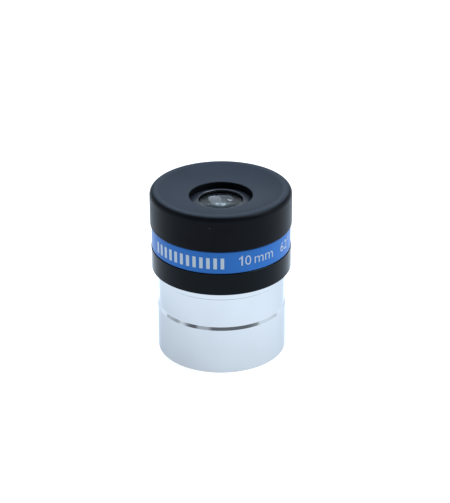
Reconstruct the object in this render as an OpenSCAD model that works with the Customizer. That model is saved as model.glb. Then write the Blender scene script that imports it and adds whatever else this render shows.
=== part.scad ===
// Telescope eyepiece with a 1.25 inch push-fit nose. All sizes are in millimetres.
// The origin is the centre of the nose's lower end. +Z runs up the optical axis to the eye.

/* [Nose barrel] */
// Diameter of the nose that slides into a focuser
nose_d = 31.7; // [31.6:0.05:31.75]
// Length of the nose below the housing
nose_len = 21.9; // [21.8:0.05:22.2]
// How deep the safety undercut is
undercut_depth = 0.35; // [0.2:0.05:0.6]
// Height where the slope into the undercut begins
undercut_low = 11.7; // [9:0.1:13]
// Height of that slope
undercut_slope = 0.8; // [0.5:0.1:1.5]
// Height of the full-diameter land above the undercut
land_h = 1.75; // [1:0.05:3]
// Major diameter of the filter thread in the mouth
filter_d = 28.5; // [28.3:0.1:28.6]
// Depth of the filter thread
filter_depth = 4.6; // [3.5:0.1:5]
// Inside diameter of the nose above the filter thread
nose_bore_d = 26.8; // [26.6:0.1:27]
// Diameter of the threaded spigot that the housing screws on to
spigot_d = 28.6; // [28.4:0.1:28.7]
// Length of that spigot
spigot_len = 4; // [3.2:0.1:4.2]

/* [Housing and label ring] */
// Outer diameter of the glossy base band
base_d = 34.2; // [34:0.1:34.4]
// Height of the glossy base band
base_h = 5.65; // [5.2:0.05:6]
// Height of the blue label ring
label_h = 5.65; // [5.4:0.05:5.7]
// Outer diameter of the label ring, a little less than the base band's
label_d = 33.9; // [33.7:0.1:34]
// Wall of the label ring
label_wall = 0.75; // [0.6:0.05:0.85]
// Thickness of the adhesive band behind the label ring
adhesive_t = 0.1; // [0.08:0.01:0.15]
// Height of the housing's top face
housing_top = 38.85; // [38.8:0.05:38.9]

/* [Rubber eyecup] */
// Outer diameter of the eyecup
cup_d = 34.5; // [34.2:0.1:34.6]
// Height of the top of the rim, and of the whole eyepiece
cup_top = 42.3; // [42:0.1:43]
// Radius of the rim's outer corner
rim_r = 1.3; // [0.8:0.1:1.8]
// Diameter of the eye hole
eye_hole_d = 15.2; // [14.6:0.1:16]
// How far the dish falls from the rim to the eye hole
dish_depth = 1.9; // [1.5:0.1:2.2]
// Radius where the dish begins inside the rim
dish_r = 15.4; // [15:0.1:15.6]

/* [Optics] */
// Diameter of the eye lens
eye_lens_d = 12.8; // [12.7:0.05:12.8]
// Diameter of the cemented doublet
doublet_d = 15.2; // [15.1:0.05:15.2]
// Diameter of the field lens
field_lens_d = 17.2; // [17.1:0.05:17.2]
// Diameter of the field stop's opening
field_stop_d = 11.2; // [10:0.1:12]
// Clear diameter of the eye lens bezel
bezel_clear_d = 10.8; // [10.4:0.1:11]

/* [Hidden] */
facets = 96;
// Lens faces are shallow caps of large balls, so those balls need finer facets
ball_facets = 240;

// Clearances on the radius: a running fit between bodies, and a seat within one body
run = 0.05;
seat = 0.05;

nose_r = nose_d / 2;
undercut_r = nose_r - undercut_depth;
land_low = nose_len - land_h;
spigot_r = spigot_d / 2;
spigot_top = nose_len + spigot_len;
nose_bore_r = nose_bore_d / 2;
mouth_bevel = 0.4;
edge_bevel = 0.25;
base_bevel = 0.1;

base_r = base_d / 2;
washer_t = 0.36;
washer_gap = 0.02;
washer_low = nose_len + washer_gap;
washer_high = washer_low + washer_t;
recess_top = washer_high + washer_gap;
recess_r = 15.4;
housing_low = nose_len + 0.05;
base_top = nose_len + base_h;
label_low = base_top + 0.05;
label_top = base_top + label_h;
label_r = label_d / 2;
label_inner_r = label_r - label_wall;
seat_r = label_inner_r - adhesive_t;
cup_low = label_top + 0.1;
cup_r = cup_d / 2;
cup_under = housing_top + 0.05;
eye_hole_r = eye_hole_d / 2;
dish_low = cup_top - dish_depth;

// The lens cell: its outer steps, and the bores that hold the optics
cell_r = 12.4;
cell_nose_r = 9.4;
cell_low = 14.5;
cell_step = 34.2;
cell_top = 38.3;
cell_thread_r = 9.4;
cell_thread_top = 23.4;
shoulder_low = 35.6;
shoulder_high = 36.6;
shoulder_hole_r = 5.7;
bezel_thread_r = 7.9;
bezel_flange_r = 8.6;
field_bore_top = 27.7;
eye_lens_r = eye_lens_d / 2;
doublet_r = doublet_d / 2;
field_lens_r = field_lens_d / 2;

// Lens edges (low and high) and how far each face bulges past them
eye_edge = [36.75, 38.35];
eye_sag = [0.6, 1.15];
crown_edge = [32, 33.3];
crown_sag = [2, 1.3];
flint_edge = [28.2, 32];
flint_hollow = 0.5;
field_edge = [24, 25.4];
field_sag = [0.5, 1.9];

screw_z = 30.4;
screw_r = 1;
screw_count = 3;

// Points of an arc about a centre [r, z], from one angle to another
function arc(centre, radius, from, to, steps = 6) = [
    for (i = [0:steps])
        let (a = from + (to - from) * i / steps)
            centre + radius * [cos(a), sin(a)]
];

// Radius of the ball whose cap of base radius r stands sag high
function ball_r(r, sag) = (r * r + sag * sag) / (2 * sag);

// Height of the dish at radius r: it steepens smoothly towards the rim
function dish_z(r) =
    let (u = (r - eye_hole_r) / (dish_r - eye_hole_r))
        dish_low + dish_depth * (0.55 * u + 0.45 * u * u);

// A body turned about the Z axis from its half section [r, z]
module turned(section) {
    rotate_extrude($fn = facets)
        polygon(section);
}

// A plain ring
module ring(outer_r, inner_r, low, high) {
    turned([[inner_r, low], [outer_r, low], [outer_r, high], [inner_r, high]]);
}

// A ball whose surface passes through radius r at height z, with its cap pointing up or down
module cap_ball(r, z, sag, up) {
    radius = ball_r(r, sag);
    side = up ? -1 : 1;
    translate([0, 0, z + side * (radius - sag)])
        sphere(radius, $fn = ball_facets);
}

// A lens whose two faces bulge past its cylindrical edge
module convex_lens(r, edge, sag) {
    intersection() {
        translate([0, 0, edge[0] - sag[0]])
            cylinder(r = r, h = edge[1] - edge[0] + sag[0] + sag[1], $fn = facets);
        cap_ball(r, edge[0], sag[0], false);
        cap_ball(r, edge[1], sag[1], true);
    }
}

// Two slots across a ring's lower face, for a pin spanner
module spanner_slots(low, reach) {
    slot_w = 1.2;
    slot_h = 0.8;
    translate([-reach, -slot_w / 2, low - slot_h])
        cube([2 * reach, slot_w, 2 * slot_h]);
}

// The chromed nose: filter thread below, safety undercut, and a threaded spigot on top
module barrel() {
    color("#d3dfee")
        turned([
            [filter_d / 2 + mouth_bevel, 0],
            [nose_r - edge_bevel, 0],
            [nose_r, edge_bevel],
            [nose_r, undercut_low],
            [undercut_r, undercut_low + undercut_slope],
            [undercut_r, land_low - 0.1],
            [nose_r, land_low],
            [nose_r, nose_len],
            [spigot_r, nose_len],
            [spigot_r, spigot_top - edge_bevel],
            [spigot_r - edge_bevel, spigot_top],
            [nose_bore_r, spigot_top],
            [nose_bore_r, filter_depth],
            [filter_d / 2, filter_depth],
            [filter_d / 2, mouth_bevel]
        ]);
}

// The blackened sleeve that lines the nose, ribbed inside against stray light
module baffle_sleeve() {
    low = 5;
    outer_r = nose_bore_r - seat;
    root_r = outer_r - 0.4;
    crest_r = outer_r - 0.9;
    pitch = 1;
    count = 8;
    ribs = [
        for (i = [count - 1:-1:0])
            each [[root_r, low + (i + 1) * pitch], [crest_r, low + (i + 0.5) * pitch]]
    ];
    color("#15171a")
        turned(concat(
            [[root_r, low], [outer_r, low], [outer_r, low + count * pitch]],
            ribs
        ));
}

// The washer between the nose's shoulder and the housing
module friction_washer() {
    color("#2b2b2b")
        ring(recess_r - 0.1, spigot_r + 0.15, washer_low, washer_high);
}

// One radial hole or screw body, pointing along +X
module radial_pin(r, from, to) {
    translate([from, 0, screw_z])
        rotate([0, 90, 0])
            cylinder(r = r, h = to - from, $fn = 32);
}

// The black housing: glossy base band, seats for the label ring and the eyecup
module housing() {
    color("#171d24")
        difference() {
            turned([
                [spigot_r + run, recess_top],
                [recess_r, recess_top],
                [recess_r, housing_low],
                [base_r - base_bevel, housing_low],
                [base_r, housing_low + base_bevel],
                [base_r, base_top - 0.1],
                [base_r - 0.1, base_top],
                [seat_r, base_top],
                [seat_r, housing_top - mouth_bevel],
                [seat_r - mouth_bevel, housing_top],
                [cell_nose_r + seat, housing_top],
                [cell_nose_r + seat, cell_step + seat],
                [cell_r + seat, cell_step + seat],
                [cell_r + seat, spigot_top + 0.4],
                [spigot_r + run, spigot_top + 0.4]
            ]);
            for (i = [0:screw_count - 1])
                rotate([0, 0, i * 360 / screw_count])
                    radial_pin(screw_r + seat, cell_r - 1, base_r);
        }
}

// The blue label ring
module label_ring() {
    bevel = 0.12;
    color("#3366b0")
        turned([
            [label_inner_r, label_low],
            [label_r - bevel, label_low],
            [label_r, label_low + bevel],
            [label_r, label_top - bevel],
            [label_r - bevel, label_top],
            [label_inner_r, label_top]
        ]);
}

// The thin adhesive band that holds the label ring
module label_adhesive() {
    color("#8f8a80")
        ring(label_inner_r, seat_r, label_low + 0.3, label_top - 0.3);
}

// The rubber eyecup: a plain skirt, a rounded rim and a dished top with the eye hole
module eyecup() {
    low_r = 0.3;
    hole_edge = 0.25;
    rim_inner = cup_r - rim_r;
    dish_steps = 8;
    dish = [
        for (i = [dish_steps:-1:1])
            let (r = eye_hole_r + hole_edge + (dish_r - eye_hole_r - hole_edge) * i / dish_steps)
                [r, dish_z(r)]
    ];
    hole_corner = [eye_hole_r + hole_edge, dish_z(eye_hole_r + hole_edge) - hole_edge];
    color("#2a3038")
        turned(concat(
            [[seat_r + run, cup_low]],
            arc([cup_r - low_r, cup_low + low_r], low_r, -90, 0, 4),
            arc([rim_inner, cup_top - rim_r], rim_r, 0, 90, 8),
            dish,
            arc(hole_corner, hole_edge, 90, 180, 4),
            [[eye_hole_r, cup_under], [seat_r + run, cup_under]]
        ));
}

// The bevelled bezel that screws into the cell and holds the eye lens
module eye_bezel() {
    clear_r = bezel_clear_d / 2;
    lip_low = 38.95;
    color("#3d434b")
        turned([
            [eye_lens_r + seat, shoulder_high + 0.05],
            [bezel_thread_r, shoulder_high + 0.05],
            [bezel_thread_r, cell_top],
            [bezel_flange_r, cell_top],
            [bezel_flange_r, cell_top + 0.2],
            [eye_hole_r, cell_top + 0.4],
            [clear_r + 0.12, 39.4],
            [clear_r, 39.3],
            [clear_r, lip_low],
            [eye_lens_r + seat, lip_low]
        ]);
}

// The soft ring between the bezel's lip and the eye lens
module eye_seal() {
    color("#0e0f10")
        ring(eye_lens_r, 5.65, 38.66, 38.92);
}

// The lens nearest the eye
module eye_lens() {
    color("#b9cad2", 0.5)
        convex_lens(eye_lens_r, eye_edge, eye_sag);
}

// The ring between the cell's shoulder and the doublet
module eye_spacer() {
    inner_r = 6.4;
    color("#1b1d20")
        turned([
            [inner_r, 33.76],
            [doublet_r, crown_edge[1] + 0.06],
            [doublet_r, shoulder_low - 0.02],
            [inner_r, shoulder_low - 0.02]
        ]);
}

// The doublet's upper element
module doublet_crown() {
    color("#c4d6da", 0.5)
        convex_lens(doublet_r, crown_edge, crown_sag);
}

// The doublet's lower element, cemented to the crown
module doublet_flint() {
    color("#cfd2c0", 0.5)
        difference() {
            translate([0, 0, flint_edge[0]])
                cylinder(r = doublet_r, h = flint_edge[1] - flint_edge[0], $fn = facets);
            cap_ball(doublet_r, flint_edge[1], crown_sag[0], false);
            cap_ball(doublet_r, flint_edge[0], flint_hollow, true);
        }
}

// The ring between the doublet and the field lens
module field_spacer() {
    inner_r = 7;
    color("#1b1d20")
        turned([
            [inner_r, 26.12],
            [field_lens_r, field_edge[1] + 0.07],
            [field_lens_r, field_bore_top - 0.05],
            [doublet_r, field_bore_top - 0.05],
            [doublet_r, flint_edge[0] - 0.02],
            [inner_r, flint_edge[0] - 0.02]
        ]);
}

// The lens nearest the field stop
module field_lens() {
    color("#b9cad2", 0.5)
        convex_lens(field_lens_r, field_edge, field_sag);
}

// The cushion ring under the field lens
module lens_o_ring() {
    cord_r = 0.28;
    color("#0e0f10")
        rotate_extrude($fn = facets)
            translate([8.15, 23.62])
                circle(cord_r, $fn = 24);
}

// The threaded ring that holds the stack of lenses in the cell
module cell_retainer() {
    low = 21.3;
    high = 23.3;
    color("#1b1d20")
        difference() {
            turned([
                [7.4, low],
                [cell_thread_r - seat, low],
                [cell_thread_r - seat, high],
                [7.7, high],
                [7.4, high - 0.3]
            ]);
            spanner_slots(low, cell_r);
        }
}

// The blackened tube that carries every lens
module lens_cell() {
    color("#16181b")
        turned([
            [cell_thread_r, cell_low],
            [cell_r - edge_bevel, cell_low],
            [cell_r, cell_low + edge_bevel],
            [cell_r, cell_step],
            [cell_nose_r, cell_step],
            [cell_nose_r, cell_top],
            [bezel_thread_r + seat, cell_top],
            [bezel_thread_r + seat, shoulder_high],
            [shoulder_hole_r, shoulder_high],
            [shoulder_hole_r, shoulder_low],
            [doublet_r + seat, shoulder_low],
            [doublet_r + seat, field_bore_top],
            [field_lens_r + seat, field_bore_top],
            [field_lens_r + seat, cell_thread_top],
            [cell_thread_r, cell_thread_top]
        ]);
}

// The threaded ring whose sharp opening bounds the view
module field_stop() {
    low = 15.2;
    high = 17;
    stop_r = field_stop_d / 2;
    color("#1b1d20")
        difference() {
            turned([
                [stop_r + 2, low],
                [cell_thread_r - seat, low],
                [cell_thread_r - seat, high],
                [stop_r, high],
                [stop_r, high - 0.15]
            ]);
            spanner_slots(low, cell_r);
        }
}

// Three grub screws under the label ring, which lock the cell in the housing
module set_screws() {
    socket_flat = 0.9;
    socket_depth = 1;
    tip = cell_r + 0.02;
    head = 15.6;
    color("#2c2f33")
        for (i = [0:screw_count - 1])
            rotate([0, 0, i * 360 / screw_count])
                difference() {
                    radial_pin(screw_r, tip, head);
                    translate([head - socket_depth, 0, screw_z])
                        rotate([0, 90, 0])
                            cylinder(d = socket_flat / cos(30), h = 2 * socket_depth, $fn = 6);
                }
}

barrel();
baffle_sleeve();
friction_washer();
housing();
label_ring();
label_adhesive();
eyecup();
eye_bezel();
eye_seal();
eye_lens();
eye_spacer();
doublet_crown();
doublet_flint();
field_spacer();
field_lens();
lens_o_ring();
cell_retainer();
lens_cell();
field_stop();
set_screws();
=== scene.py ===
# A 1.25 inch telescope eyepiece standing on its nose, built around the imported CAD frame.
import math

import bmesh
import bpy
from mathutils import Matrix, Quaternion, Vector


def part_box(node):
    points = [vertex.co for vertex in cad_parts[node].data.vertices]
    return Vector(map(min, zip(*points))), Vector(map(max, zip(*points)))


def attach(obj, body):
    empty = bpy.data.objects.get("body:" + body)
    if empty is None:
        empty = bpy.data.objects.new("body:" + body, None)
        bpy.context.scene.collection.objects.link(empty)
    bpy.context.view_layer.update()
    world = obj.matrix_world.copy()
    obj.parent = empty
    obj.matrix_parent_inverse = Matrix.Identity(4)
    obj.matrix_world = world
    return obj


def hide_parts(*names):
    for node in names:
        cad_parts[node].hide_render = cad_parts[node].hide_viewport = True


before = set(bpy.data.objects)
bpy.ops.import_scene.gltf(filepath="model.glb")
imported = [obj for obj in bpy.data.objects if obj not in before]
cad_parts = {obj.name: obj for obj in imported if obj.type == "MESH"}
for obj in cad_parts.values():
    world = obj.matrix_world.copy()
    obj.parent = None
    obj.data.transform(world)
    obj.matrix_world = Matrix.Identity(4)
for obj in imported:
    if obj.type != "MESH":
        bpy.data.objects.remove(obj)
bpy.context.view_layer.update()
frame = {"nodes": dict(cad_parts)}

MM = 0.001
TURN = 2 * math.pi
STEPS = 192                      # facets round each turned piece
STUDIO = (0.87, 1.0, 1.15)       # the studio's cool white
COATING = (0.5, 0.6, 0.62, 1)    # tint of what the coated lenses mirror
NEAR = 1e-4                      # millimetres within which two places are the same
INK = 0.03                       # how far the printed marks stand out of the label ring, and reach into it


# ---------------------------------------------------------------- measuring the frame

def low(node):
    """Height of a node's lowest point, in millimetres."""
    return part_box(node)[0].z / MM


def high(node):
    """Height of a node's highest point, in millimetres."""
    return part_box(node)[1].z / MM


def radius(node):
    """Outer radius of a node about the optical axis, in millimetres."""
    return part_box(node)[1].y / MM


# ---------------------------------------------------------------- mesh tools

def rounded(corners, arc_steps=6, guard=0.04):
    """A half section [(r, z)] from corners [(r, z, fillet radius)], with an arc at each filleted corner.
    A guard point just outside each arc keeps the flat beside it flat when shaded. Vectors hold the points in
    single precision, so a point is found again with NEAR and not with ==."""
    out = []
    count = len(corners)
    for i, (r, z, fillet) in enumerate(corners):
        here = Vector((r, z))
        if not fillet:
            out.append(here)
            continue
        before = (Vector(corners[i - 1][:2]) - here).normalized()
        after = (Vector(corners[(i + 1) % count][:2]) - here).normalized()
        half = before.angle(after) / 2
        reach = fillet / math.tan(half)
        centre = here + (before + after).normalized() * (fillet / math.sin(half))
        start = here + before * reach - centre
        sweep = start.angle_signed(here + after * reach - centre)
        out.append(here + before * (reach + guard))
        for k in range(arc_steps + 1):
            a = -sweep * k / arc_steps
            out.append(centre + Vector((
                start.x * math.cos(a) - start.y * math.sin(a),
                start.x * math.sin(a) + start.y * math.cos(a),
            )))
        out.append(here + after * (reach + guard))
    return [(p.x, p.y) for p in out]


def new_object(name, bm, sharp=35):
    """A smooth-shaded object from a bmesh in millimetres. Edges past an angle in degrees stay sharp."""
    # Blender guesses which way is out here, and guesses wrong for lens_flint and mark_angle.
    bmesh.ops.recalc_face_normals(bm, faces=bm.faces)
    bmesh.ops.scale(bm, vec=(MM, MM, MM), verts=bm.verts)
    limit = math.radians(sharp)
    for face in bm.faces:
        face.smooth = True
    for edge in bm.edges:
        if edge.is_manifold and edge.calc_face_angle(0) > limit:
            edge.smooth = False
    mesh = bpy.data.meshes.new(name)
    bm.to_mesh(mesh)
    bm.free()
    obj = bpy.data.objects.new(name, mesh)
    bpy.context.scene.collection.objects.link(obj)
    return obj


def lathe(name, section, steps=STEPS, shape=None, sharp=35):
    """A closed half section [(r, z)] in millimetres, turned about Z. shape(r, z, angle) may move a point's
    radius."""
    bm = bmesh.new()
    rings = []
    for r, z in section:
        if r < 1e-6:
            rings.append([bm.verts.new((0, 0, z))] * steps)
            continue
        ring = []
        for i in range(steps):
            a = TURN * i / steps
            rr = shape(r, z, a) if shape else r
            ring.append(bm.verts.new((rr * math.cos(a), rr * math.sin(a), z)))
        rings.append(ring)
    for k, ring in enumerate(rings):
        other = rings[(k + 1) % len(rings)]
        for i in range(steps):
            j = (i + 1) % steps
            corners = list(dict.fromkeys((ring[i], ring[j], other[j], other[i])))
            if len(corners) > 2:
                bm.faces.new(corners)
    return new_object(name, bm, sharp)


def climb(r, bottom, top, count):
    """Points straight up a wall, close enough together to carry a thread."""
    return [(r, bottom + (top - bottom) * i / count) for i in range(count + 1)]


def thread(z, angle, bottom, top, pitch, depth):
    """Depth of a rounded right-hand groove at a height and angle. It runs out over a turn at each end."""
    wave = 0.5 - 0.5 * math.cos(TURN * (z - bottom) / pitch - angle)
    fade = min(1, (z - bottom) / pitch, (top - z) / pitch)
    return depth * wave * max(0, fade)


def lens_section(r, edge_low, edge_high, sag_low, sag_high, steps=20):
    """Half section of a lens from the bottom pole to the top pole. A negative sag makes a hollow face."""
    def cap(z, sag, side):
        ball = (r * r + sag * sag) / (2 * abs(sag))
        points = []
        for i in range(steps):
            at = r * math.sin(math.pi / 2 * i / steps)
            rise = math.sqrt(ball * ball - at * at) - math.sqrt(ball * ball - r * r)
            points.append((at, z + side * math.copysign(rise, sag)))
        return points
    bevel = 0.08
    rim = [(r - bevel, edge_low), (r, edge_low + bevel), (r, edge_high - bevel), (r - bevel, edge_high)]
    return cap(edge_low, sag_low, -1) + rim + cap(edge_high, sag_high, 1)[::-1]


# ---------------------------------------------------------------- material tools

def tone(red, green, blue):
    """A linear colour from display values of 0 to 255."""
    def linear(c):
        c /= 255
        return c / 12.92 if c <= 0.04045 else ((c + 0.055) / 1.055) ** 2.4
    return (linear(red), linear(green), linear(blue), 1)


class Nodes:
    """A material's node tree, with short calls to add and link nodes."""

    def __init__(self, name):
        self.material = bpy.data.materials.new(name)
        self.material.use_nodes = True
        self.tree = self.material.node_tree
        self.shader = self.tree.nodes["Principled BSDF"]
        where = self.add("ShaderNodeTexCoord")
        self.place, self.normal = where.outputs["Object"], where.outputs["Normal"]

    def add(self, kind, inputs=None, **settings):
        node = self.tree.nodes.new(kind)
        for key, value in settings.items():
            setattr(node, key, value)
        for key, value in (inputs or {}).items():
            self.put(node.inputs[key], value)
        return node

    def put(self, socket, value):
        if isinstance(value, bpy.types.NodeSocket):
            self.tree.links.new(value, socket)
        else:
            socket.default_value = value

    def set(self, **inputs):
        """Sets the Principled shader's inputs, by name with _ for a space."""
        for key, value in inputs.items():
            self.put(self.shader.inputs[key.replace("_", " ")], value)

    def stretched(self, x, y, z):
        """Object coordinates scaled by axis."""
        return self.add("ShaderNodeMapping", {"Vector": self.place, "Scale": (x, y, z)}).outputs[0]

    def noise(self, size_mm, detail=3, place=None):
        """Noise with features of about this size."""
        return self.add("ShaderNodeTexNoise", {
            "Vector": place or self.place, "Scale": 1 / (size_mm * MM), "Detail": detail,
        }).outputs["Fac"]

    def spread(self, value, lowest, highest, start=0.0, end=1.0):
        """A value from start..end mapped to lowest..highest."""
        return self.add("ShaderNodeMapRange", {
            "Value": value, "From Min": start, "From Max": end, "To Min": lowest, "To Max": highest,
        }).outputs["Result"]

    def blend(self, share, first, second):
        """A colour between two, by a share of 0 to 1."""
        node = self.add("ShaderNodeMix", data_type="RGBA")
        self.put(node.inputs[0], share)
        self.put(node.inputs[6], first)
        self.put(node.inputs[7], second)
        return node.outputs[2]

    def maths(self, operation, first, second=0.0):
        node = self.add("ShaderNodeMath", operation=operation)
        self.put(node.inputs[0], first)
        self.put(node.inputs[1], second)
        return node.outputs[0]

    def bump(self, height, depth_mm, strength):
        """A normal from a height of 0 to 1, for bumps of this depth."""
        node = self.add("ShaderNodeBump", {"Height": height, "Distance": depth_mm * MM, "Strength": strength})
        return node.outputs["Normal"]

    def specks(self, spacing_mm, speck_mm, share):
        """1 inside sparse round specks, one in some of the cells, and 0 elsewhere."""
        cells = self.add("ShaderNodeTexVoronoi", {
            "Vector": self.place, "Scale": 1 / (spacing_mm * MM), "Randomness": 1.0,
        })
        inside = self.spread(cells.outputs["Distance"], 1, 0, 0, speck_mm / spacing_mm)
        chosen = self.add("ShaderNodeSeparateColor", {"Color": cells.outputs["Color"]}).outputs[0]
        return self.maths("MULTIPLY", inside, self.maths("LESS_THAN", chosen, share))


def finish_with(obj, material):
    obj.data.materials.clear()
    obj.data.materials.append(material)


# ---------------------------------------------------------------- materials

def rubber():
    """Soft matt moulded rubber with a fine grain, painted light from above on what faces up, and a few
    specks.
    """
    n = Nodes("cup_rubber")
    patches = n.noise(6, 4)
    grain = n.noise(0.12, 3)
    dust = n.specks(3, 0.13, 0.22)
    base = n.blend(n.spread(patches, 0, 1, 0.35, 0.65), tone(5, 6, 8), tone(9, 10, 13))
    facing = n.add("ShaderNodeSeparateXYZ", {"Vector": n.normal}).outputs["Z"]
    # Painted top light: what faces up is painted a paler grey-blue, as the light from above would make it.
    painted_top_light = n.spread(facing, 0, 1, 0.8, 0.95)
    top_lit_colour = n.blend(painted_top_light, base, n.blend(patches, tone(44, 48, 54), tone(48, 53, 60)))
    colour = n.blend(dust, top_lit_colour, tone(120, 126, 132))
    fine = n.bump(grain, 0.004, 0.5)
    n.set(Base_Color=colour, Roughness=n.spread(patches, 0.34, 0.42), Normal=fine, IOR=1.14)
    return n.material


def gloss_black():
    """Gloss black moulded plastic with a faint orange peel."""
    n = Nodes("black_housing")
    peel = n.noise(0.9, 2)
    smears = n.noise(5, 4)
    base = n.blend(smears, tone(6, 10, 13), tone(10, 14, 18))
    n.set(Base_Color=base, Roughness=n.spread(smears, 0.12, 0.22), Normal=n.bump(peel, 0.002, 0.4), IOR=1.15)
    return n.material


def blue_anodised():
    """Satin blue anodised metal with a faint turned grain."""
    n = Nodes("blue_label")
    turned = n.noise(0.25, 3, n.stretched(0.15, 0.15, 3))
    patches = n.noise(4, 3)
    base = n.blend(patches, tone(38, 92, 154), tone(45, 99, 164))
    n.set(
        Base_Color=base, Roughness=n.spread(turned, 0.26, 0.36), Normal=n.bump(turned, 0.001, 0.5), IOR=1.17,
    )
    return n.material


def silver_print():
    """Silver ink, slightly grainy."""
    n = Nodes("silver_print")
    flake = n.noise(0.08, 2)
    base = n.blend(flake, tone(150, 157, 162), tone(172, 178, 182))
    n.set(
        Base_Color=base, Roughness=n.spread(flake, 0.35, 0.55), Metallic=0.3,
        Normal=n.bump(flake, 0.002, 0.4), IOR=1.3,
    )
    return n.material


def chrome():
    """Bright chrome plate with faint turning lines and a little haze."""
    n = Nodes("chromed_nose")
    lines = n.noise(0.3, 4, n.stretched(0.05, 0.05, 6))
    haze = n.noise(5, 4)
    base = n.blend(haze, (0.465, 0.465, 0.462, 1), (0.495, 0.495, 0.492, 1))
    n.set(
        Base_Color=base, Metallic=1.0, Roughness=n.spread(haze, 0.05, 0.12),
        Normal=n.bump(lines, 0.0006, 0.5), Specular_Tint=(0.72, 0.74, 0.76, 1),
    )
    return n.material


def black_metal(name, colour, roughness):
    """Black anodised metal with fine turning marks."""
    n = Nodes(name)
    lines = n.noise(0.2, 3, n.stretched(0.1, 0.1, 4))
    darker = tuple(c * 0.7 for c in colour[:3]) + (1,)
    n.set(
        Base_Color=n.blend(lines, darker, colour), Metallic=0.3,
        Roughness=n.spread(lines, roughness - 0.06, roughness + 0.06), Normal=n.bump(lines, 0.002, 0.5),
    )
    return n.material


def soft_black(name):
    """Plain black rubber or nylon for the hidden rings."""
    n = Nodes(name)
    grain = n.noise(0.15, 3)
    n.set(
        Base_Color=n.blend(grain, tone(14, 14, 15), tone(24, 24, 26)),
        Roughness=n.spread(grain, 0.55, 0.75), Normal=n.bump(grain, 0.003, 0.5),
    )
    return n.material


def adhesive_film():
    """A thin, slightly mottled adhesive film."""
    n = Nodes("adhesive")
    mottle = n.noise(0.6, 4)
    n.set(
        Base_Color=n.blend(mottle, tone(150, 144, 130), tone(188, 182, 168)),
        Roughness=n.spread(mottle, 0.4, 0.6), Normal=n.bump(mottle, 0.004, 0.5),
    )
    return n.material


def bezel_black():
    """Black anodised bezel, smoother than the inside parts, so its lip catches the light."""
    n = Nodes("bezel_black")
    lines = n.noise(0.2, 3, n.stretched(0.1, 0.1, 4))
    base = n.blend(lines, tone(30, 33, 38), tone(38, 42, 48))
    n.set(Base_Color=base, Roughness=n.spread(lines, 0.26, 0.36), Normal=n.bump(lines, 0.001, 0.4), IOR=1.6)
    return n.material


def glass(name, tint, ior):
    """Polished lens glass with the faintest smear. Its coating weakens what it mirrors."""
    n = Nodes(name)
    smear = n.noise(2.5, 4)
    n.set(
        Base_Color=tint, Transmission_Weight=1.0, IOR=ior, Specular_Tint=COATING,
        Roughness=n.spread(smear, 0.0, 0.03, 0.45, 0.8),
    )
    return n.material


def pale_floor():
    """A pale, matt sheet that glows, with a painted shadow where it glows a little less near the nose.
    It is plain white to look at, and it lights the eyepiece with the studio's cool white."""
    n = Nodes("floor")
    mottle = n.noise(40, 2)
    seen = n.add("ShaderNodeLightPath").outputs["Is Camera Ray"]
    # Painted shadow: the glow is weaker towards a point beside the nose, in place of a contact shadow.
    painted_shadow_centre = (-0.012, -0.014, 0)
    painted_shadow_distance = n.add("ShaderNodeVectorMath", {0: n.place, 1: painted_shadow_centre}, operation="DISTANCE").outputs["Value"]
    n.set(
        Base_Color=n.blend(mottle, (0.30, 0.30, 0.30, 1), (0.32, 0.32, 0.32, 1)), Roughness=0.9,
        Emission_Color=n.blend(seen, STUDIO + (1,), (0.92, 0.92, 0.92, 1)),
        Emission_Strength=n.spread(painted_shadow_distance, 0.9, 1.22, 0, 0.045), Specular_IOR_Level=0.0,
    )
    return n.material


# ---------------------------------------------------------------- stage, lights and camera

def make_floor():
    bm = bmesh.new()
    half_width, gap = 4000, 0.02     # the gap keeps the floor clear of the nose's end face
    bmesh.ops.create_grid(bm, x_segments=4, y_segments=4, size=half_width)
    floor = new_object("floor", bm)
    finish_with(floor, pale_floor())
    floor.location.z = -gap * MM


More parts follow.
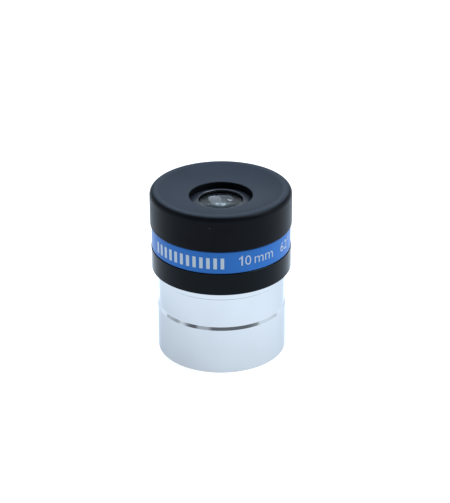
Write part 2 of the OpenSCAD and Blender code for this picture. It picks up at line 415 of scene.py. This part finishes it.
def make_world():
    """A cool white studio: dark in front where the camera stands, light beside, and a tall soft light behind.
    Plain white where the camera itself looks past the floor."""
    around = (
        (-180, 0.7), (-150, 0.9), (-125, 0.82), (-98, 0.92), (-89, 0.75), (-82, 0.66), (-77, 1.0), (-72, 1.3),
        (-67, 1.0), (-61, 0.42), (-55, 0.22), (-46, 0.22), (-41, 0.75), (-24, 0.75), (-17, 0.25), (45, 0.25),
        (58, 0.42), (64, 0.6), (69, 1.4), (90, 1.4), (110, 1.1), (150, 0.95), (180, 0.7),
    )                            # direction in degrees from the camera's, and brightness there
    level_sky, top_sky = (0.25, 0.27, 0.3), (2.4, 3.0, 3.9)
    behind = (
        (0.0, level_sky), (0.34, level_sky), (0.42, (0.6, 0.65, 0.72)), (0.78, (0.75, 0.88, 1.05)),
        (0.9, top_sky), (1.0, top_sky),
    )                            # height of the direction, 0 level to 1 straight up, and colour there
    brightest = 5.0              # the ramps hold each colour as a share of this
    world = bpy.data.worlds.new("studio")
    bpy.context.scene.world = world
    world.use_nodes = True
    nodes, links = world.node_tree.nodes, world.node_tree.links

    def add(kind, **settings):
        node = nodes.new(kind)
        for key, value in settings.items():
            setattr(node, key, value)
        return node

    def ramp(stops, driver):
        node = add("ShaderNodeValToRGB")
        elements = node.color_ramp.elements
        for at, _ in stops[1:-1]:
            elements.new(at)
        for element, (_, colour) in zip(elements, stops):
            element.color = tuple(c / brightest for c in colour) + (1,)
        links.new(driver, node.inputs["Fac"])
        return node.outputs["Color"]

    def spread(driver, start, end):
        node = add("ShaderNodeMapRange", interpolation_type="SMOOTHSTEP")
        node.inputs["From Min"].default_value = start
        node.inputs["From Max"].default_value = end
        links.new(driver, node.inputs["Value"])
        return node.outputs["Result"]

    def mix(share, first, second):
        node = add("ShaderNodeMix", data_type="RGBA")
        links.new(share, node.inputs[0])
        links.new(first, node.inputs[6])
        if isinstance(second, tuple):
            node.inputs[7].default_value = second
        else:
            links.new(second, node.inputs[7])
        return node.outputs[2]

    direction = add("ShaderNodeTexCoord").outputs["Generated"]
    way = add("ShaderNodeSeparateXYZ")
    links.new(direction, way.inputs[0])
    front = add("ShaderNodeMath", operation="MULTIPLY")
    front.inputs[1].default_value = -1
    links.new(way.outputs["Y"], front.inputs[0])
    angle = add("ShaderNodeMath", operation="ARCTAN2")
    links.new(way.outputs["X"], angle.inputs[0])
    links.new(front.outputs[0], angle.inputs[1])
    turn = add("ShaderNodeMapRange")
    turn.inputs["From Min"].default_value = -math.pi
    turn.inputs["From Max"].default_value = math.pi
    links.new(angle.outputs[0], turn.inputs["Value"])
    sides = ramp([
        ((degrees + 180) / 360, tuple(c * bright for c in STUDIO)) for degrees, bright in around
    ], turn.outputs["Result"])
    tall = ramp(behind, way.outputs["Z"])
    lean = add("ShaderNodeVectorMath", operation="DOT_PRODUCT")
    lean.inputs[1].default_value = (0, 0.9, 1)
    links.new(direction, lean.inputs[0])
    studio = mix(spread(lean.outputs["Value"], 0.72, 1.02), sides, tall)
    seen = mix(add("ShaderNodeLightPath").outputs["Is Camera Ray"], studio, (0.2, 0.2, 0.2, 1))
    sky = nodes["Background"]
    links.new(seen, sky.inputs["Color"])
    sky.inputs["Strength"].default_value = brightest


def area_light(name, place, size, power, shape="RECTANGLE", colour=STUDIO):
    """A soft light of this size in metres and power in watts, aimed at the top of the eyepiece."""
    target = Vector((0, 0, 0.04))
    data = bpy.data.lights.new(name, "AREA")
    data.shape = shape
    data.size, data.size_y = size
    data.energy = power
    data.color = colour
    lamp = bpy.data.objects.new(name, data)
    lamp.location = place
    lamp.visible_camera = False
    lamp.rotation_euler = (target - Vector(place)).to_track_quat("-Z", "Y").to_euler()
    bpy.context.scene.collection.objects.link(lamp)


def make_camera():
    """The photograph's view: 26.8 degrees above the horizon, square to the label, with a slight roll."""
    elevation = math.radians(26.83)
    distance = 430.6 * MM
    aim_right, aim_up = 0.92 * MM, 3.72 * MM
    roll = math.radians(0.4)
    back = Vector((0, -math.cos(elevation), math.sin(elevation)))
    up = Vector((0, math.sin(elevation), math.cos(elevation)))
    middle = Vector((0, 0, 21 * MM))
    data = bpy.data.cameras.new("camera")
    data.sensor_width = 36
    data.lens = 125.2
    camera = bpy.data.objects.new("camera", data)
    camera.location = middle + back * distance
    aim = middle + Vector((aim_right, 0, 0)) + up * aim_up - camera.location
    camera.rotation_mode = "QUATERNION"
    camera.rotation_quaternion = aim.to_track_quat("-Z", "Y")
    camera.rotation_quaternion.rotate(Quaternion(aim.normalized(), roll))
    bpy.context.scene.collection.objects.link(camera)
    bpy.context.scene.camera = camera


# ---------------------------------------------------------------- pieces

def stands_for(piece, body, *nodes):
    """Puts a piece on a body in place of CAD nodes."""
    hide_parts(*nodes)
    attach(piece, body)


def make_nose():
    """The chromed nose, with its filter thread, safety undercut and threaded spigot."""
    r = radius("barrel")
    bore, mouth, depth = 13.4, 14.25, 4.6
    undercut, line = r - 0.35, r - 0.42          # the line is the fine groove under the land
    shoulder, top, spigot = 21.9, high("barrel"), 14.3
    filter_low, filter_high, filter_pitch, filter_cut, filter_rows = 0.5, 4.4, 0.6, 0.3, 104
    spigot_low, spigot_high, spigot_pitch, spigot_cut, spigot_rows = 22.5, 25.8, 0.75, 0.32, 66

    def cut(at, z, angle):
        if abs(at - mouth) < NEAR and filter_low < z < filter_high:
            return at - thread(z, angle, filter_low, filter_high, filter_pitch, filter_cut)
        if abs(at - spigot) < NEAR and spigot_low < z < spigot_high:
            return at - thread(z, angle, spigot_low, spigot_high, spigot_pitch, spigot_cut)
        return at

    outside = rounded([
        (bore, top, 0), (bore, depth, 0), (mouth, depth, 0), (mouth, 0.4, 0), (mouth + 0.4, 0, 0.1),
        (r, 0, 0.28), (r, 11.7, 0.06), (undercut, 12.5, 0.5), (undercut, 19.84, 0), (undercut, 19.87, 0),
        (line, 19.94, 0), (line, 20.03, 0), (r, 20.15, 0.05), (r, shoulder, 0.15),
        (spigot + 0.01, shoulder, 0), (spigot, shoulder + 0.05, 0), (spigot - 0.2, top, 0.05),
    ])
    section = []
    for here in outside:
        section.append(here)
        if math.dist(here, (mouth, depth)) < NEAR:
            section += climb(mouth, filter_high, filter_low, filter_rows)
        if math.dist(here, (spigot, shoulder + 0.05)) < NEAR:
            section += climb(spigot, spigot_low, spigot_high, spigot_rows)
    nose = lathe("nose_tube", section, shape=cut)
    finish_with(nose, chrome())
    stands_for(nose, "nose", "barrel")


def make_eyecup():
    """The moulded rubber eyecup: a plain skirt, a soft rounded rim and a dish that steepens towards it."""
    r, bottom, top = radius("eyecup"), low("eyecup"), high("eyecup")
    bore, under, hole = 16.15, 38.9, 7.6
    depth, crest = 1.9, 15.4
    dish = []
    for i in range(1, 25):
        u = i / 24
        dish.append((hole + (crest - hole) * u, top - depth + depth * (0.55 * u + 0.45 * u * u)))
    hole_top = top - depth
    lip = [
        (hole + 0.3 - 0.3 * math.sin(a), hole_top - 0.3 + 0.3 * math.cos(a) + 0.04)
        for a in (math.radians(90 - 15 * k) for k in range(7))
    ]
    rim = rounded([
        (bore, bottom, 0.12), (r, bottom, 0.3), (r, top + 0.02, 1.35), (crest, top, 0.0),
    ], 14)
    outer = rim[:-1]
    section = outer + dish[::-1][1:] + lip[::-1] + [(hole, under + 0.3), (hole + 0.05, under), (bore, under)]
    cup = lathe("cup_shell", section, sharp=50)
    finish_with(cup, rubber())
    stands_for(cup, "cup", "eyecup")


def make_bezel():
    """The turned bezel round the eye lens, with a rounded inner lip."""
    clear, seat, screw, flange = 5.4, 6.45, 7.9, radius("eye_bezel")
    bottom, top = low("eye_bezel"), high("eye_bezel")
    section = rounded([
        (seat, bottom, 0), (screw, bottom, 0.1), (screw, 38.3, 0), (flange, 38.3, 0.05), (flange, 38.5, 0.05),
        (7.6, 38.7, 0.1), (clear + 0.12, top, 0.09), (clear, top - 0.1, 0.06), (clear, 38.95, 0.05),
        (seat, 38.95, 0),
    ], 5, 0.02)
    bezel = lathe("lens_bezel", section)
    finish_with(bezel, bezel_black())
    stands_for(bezel, "head", "eye_bezel")


def make_lens(name, node, section, polish):
    """A polished lens with a ground, blackened edge."""
    lens = lathe(name, section, 128)
    finish_with(lens, polish)
    lens.data.materials.append(EDGE_BLACK)
    for face in lens.data.polygons:
        face.material_index = int(abs(face.normal.z) < 0.75)
    stands_for(lens, "head", node)


def make_lenses():
    eye, crown, field = radius("eye_lens"), radius("doublet_crown"), radius("field_lens")
    crown_index, flint_index = 1.52, 1.65
    coated = glass("coated_glass", (0.96, 1.0, 0.98, 1), crown_index)
    # Painted shade: the eye lens is tinted dark, which dims the reflections inside it and the view through
    # it.
    shade_tinted_glass = glass("eye_lens_glass", (0.19, 0.22, 0.22, 1), crown_index)
    eye_shape = lens_section(eye, 36.75, 38.35, 0.6, 1.15)
    crown_shape = lens_section(crown, 32.01, 33.3, 1.99, 1.3)
    flint_shape = lens_section(crown, 28.2, 32.0, -0.5, -2.0)
    field_shape = lens_section(field, 24.0, 25.4, 0.5, 1.9)
    make_lens("lens_eye", "eye_lens", eye_shape, shade_tinted_glass)
    make_lens("lens_crown", "doublet_crown", crown_shape, coated)
    flint = glass("flint_glass", (1.0, 0.99, 0.95, 1), flint_index)
    make_lens("lens_flint", "doublet_flint", flint_shape, flint)
    make_lens("lens_field", "field_lens", field_shape, coated)


# ---------------------------------------------------------------- marks on the label ring

def wrap_marks(name, bm, start, height):
    """Lays flat marks (x along the ring, y up, z out) round the label ring, from an angle in degrees, and
    prints them on it in silver."""
    r = radius("label_ring")
    strip, same = 0.4, 0.001         # width of the strips that bend, and distance at which points join
    bmesh.ops.remove_doubles(bm, verts=bm.verts, dist=same)
    left = min(v.co.x for v in bm.verts)
    right = max(v.co.x for v in bm.verts)
    cut = left + strip
    while cut < right:
        whole = bm.verts[:] + bm.edges[:] + bm.faces[:]
        bmesh.ops.bisect_plane(bm, geom=whole, plane_co=(cut, 0, 0), plane_no=(1, 0, 0), dist=same)
        cut += strip
    for v in bm.verts:
        angle = math.radians(start) + v.co.x / r
        out = r + v.co.z
        v.co = (out * math.sin(angle), -out * math.cos(angle), height + v.co.y)
    marks = new_object(name, bm)
    finish_with(marks, SILVER)
    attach(marks, "head")


def lettering(name, text, size, start, height, thin=0.0):
    """Plain numbers and units, from the built-in font. Size is the height of a digit in millimetres."""
    digit_share = 0.73               # a digit's height as a share of the font's size
    curve = bpy.data.curves.new(name, "FONT")
    curve.body = text
    curve.size = size / digit_share
    curve.extrude = INK
    curve.offset = thin
    curve.resolution_u = 5
    holder = bpy.data.objects.new(name + "_flat", curve)
    mesh = bpy.data.meshes.new_from_object(holder)
    bm = bmesh.new()
    bm.from_mesh(mesh)
    bpy.data.objects.remove(holder)
    bpy.data.curves.remove(curve)
    bpy.data.meshes.remove(mesh)
    wrap_marks(name, bm, start, height)


def thicken(bm, depth):
    """Makes closed solids of flat faces, upwards."""
    flat = bm.faces[:]
    lifted = bmesh.ops.extrude_face_region(bm, geom=flat, use_keep_orig=True)
    upper = [v for v in lifted["geom"] if isinstance(v, bmesh.types.BMVert)]
    bmesh.ops.translate(bm, vec=(0, 0, depth), verts=upper)


def bars(name, count, width, gap, tall, start, height):
    """A row of plain upright bars with slightly rounded corners."""
    bm = bmesh.new()
    corner = 0.06
    for i in range(count):
        x = i * (width + gap)
        outline = []
        for cx, cy, turn in (
            (x + width - corner, tall - corner, 0), (x + corner, tall - corner, 90),
            (x + corner, corner, 180), (x + width - corner, corner, 270),
        ):
            for step in (0, 30, 60, 90):
                a = math.radians(turn + step)
                outline.append(bm.verts.new((cx + corner * math.cos(a), cy + corner * math.sin(a), -INK)))
        bm.faces.new(outline)
    thicken(bm, 2 * INK)
    wrap_marks(name, bm, start, height)


def numeral_one(name, tall, start, height):
    """A plain numeral one, with its flag."""
    bm = bmesh.new()
    outline = [
        (0.59, 0), (0.95, 0), (0.95, tall), (0.70, tall), (0.56, tall - 0.27), (0.32, tall - 0.47),
        (0, tall - 0.62), (0, tall - 0.93), (0.32, tall - 0.80), (0.59, tall - 0.60),
    ]
    bm.faces.new([bm.verts.new((x, y, -INK)) for x, y in outline])
    thicken(bm, 2 * INK)
    wrap_marks(name, bm, start, height)


def make_marks():
    """Plain bars where the real ring carries a name, then the focal length and the angle of view."""
    digit, foot = 2.55, 29.45        # height of a digit, and of its foot above the floor
    bars("mark_bars", count=12, width=0.85, gap=0.86, tall=2.84, start=-64.2, height=28.86)
    numeral_one("mark_one", digit, 14.2, foot)
    lettering("mark_zero", "0", digit, 19.0, foot, -0.02)
    lettering("mark_mm", "mm", 2.85, 26.8, foot, -0.03)
    lettering("mark_angle", "62\u00b0", digit, 56, foot, -0.02)


# ---------------------------------------------------------------- build

def dress_cad_nodes():
    """Gives each CAD node that stays its material."""
    matt = black_metal("matt_black_metal", tone(24, 25, 27), 0.55)
    nodes = frame["nodes"]
    for name in ("baffle_sleeve", "eye_spacer", "field_spacer", "cell_retainer", "lens_cell", "field_stop"):
        finish_with(nodes[name], matt)
    finish_with(nodes["set_screws"], black_metal("screw_steel", tone(48, 50, 54), 0.35))
    finish_with(nodes["friction_washer"], soft_black("washer_plastic"))
    for name in ("eye_seal", "lens_o_ring"):
        finish_with(nodes[name], soft_black("seal_rubber"))
    finish_with(nodes["label_adhesive"], adhesive_film())
    finish_with(nodes["housing"], gloss_black())
    finish_with(nodes["label_ring"], blue_anodised())


SILVER = silver_print()
EDGE_BLACK = black_metal("lens_edge_paint", tone(12, 12, 13), 0.7)

bpy.context.scene.view_settings.view_transform = "Standard"
make_floor()
make_world()
area_light("key_box", (0.42, 0.0, 0.62), (0.4, 0.4), 3.2)
area_light("back_oval", (0, 0.61, 0.385), (0.22, 0.56), 0.13, "ELLIPSE", colour=(0.9, 1.0, 1.28))
area_light("back_left", (-0.045, 0.57, 0.36), (0.1, 0.42), 0.11, "ELLIPSE")
area_light("back_point", (0.067, 0.52, 0.32), (0.03, 0.03), 0.012, "ELLIPSE")
make_camera()
dress_cad_nodes()
make_nose()
make_eyecup()
make_bezel()
make_lenses()
make_marks()
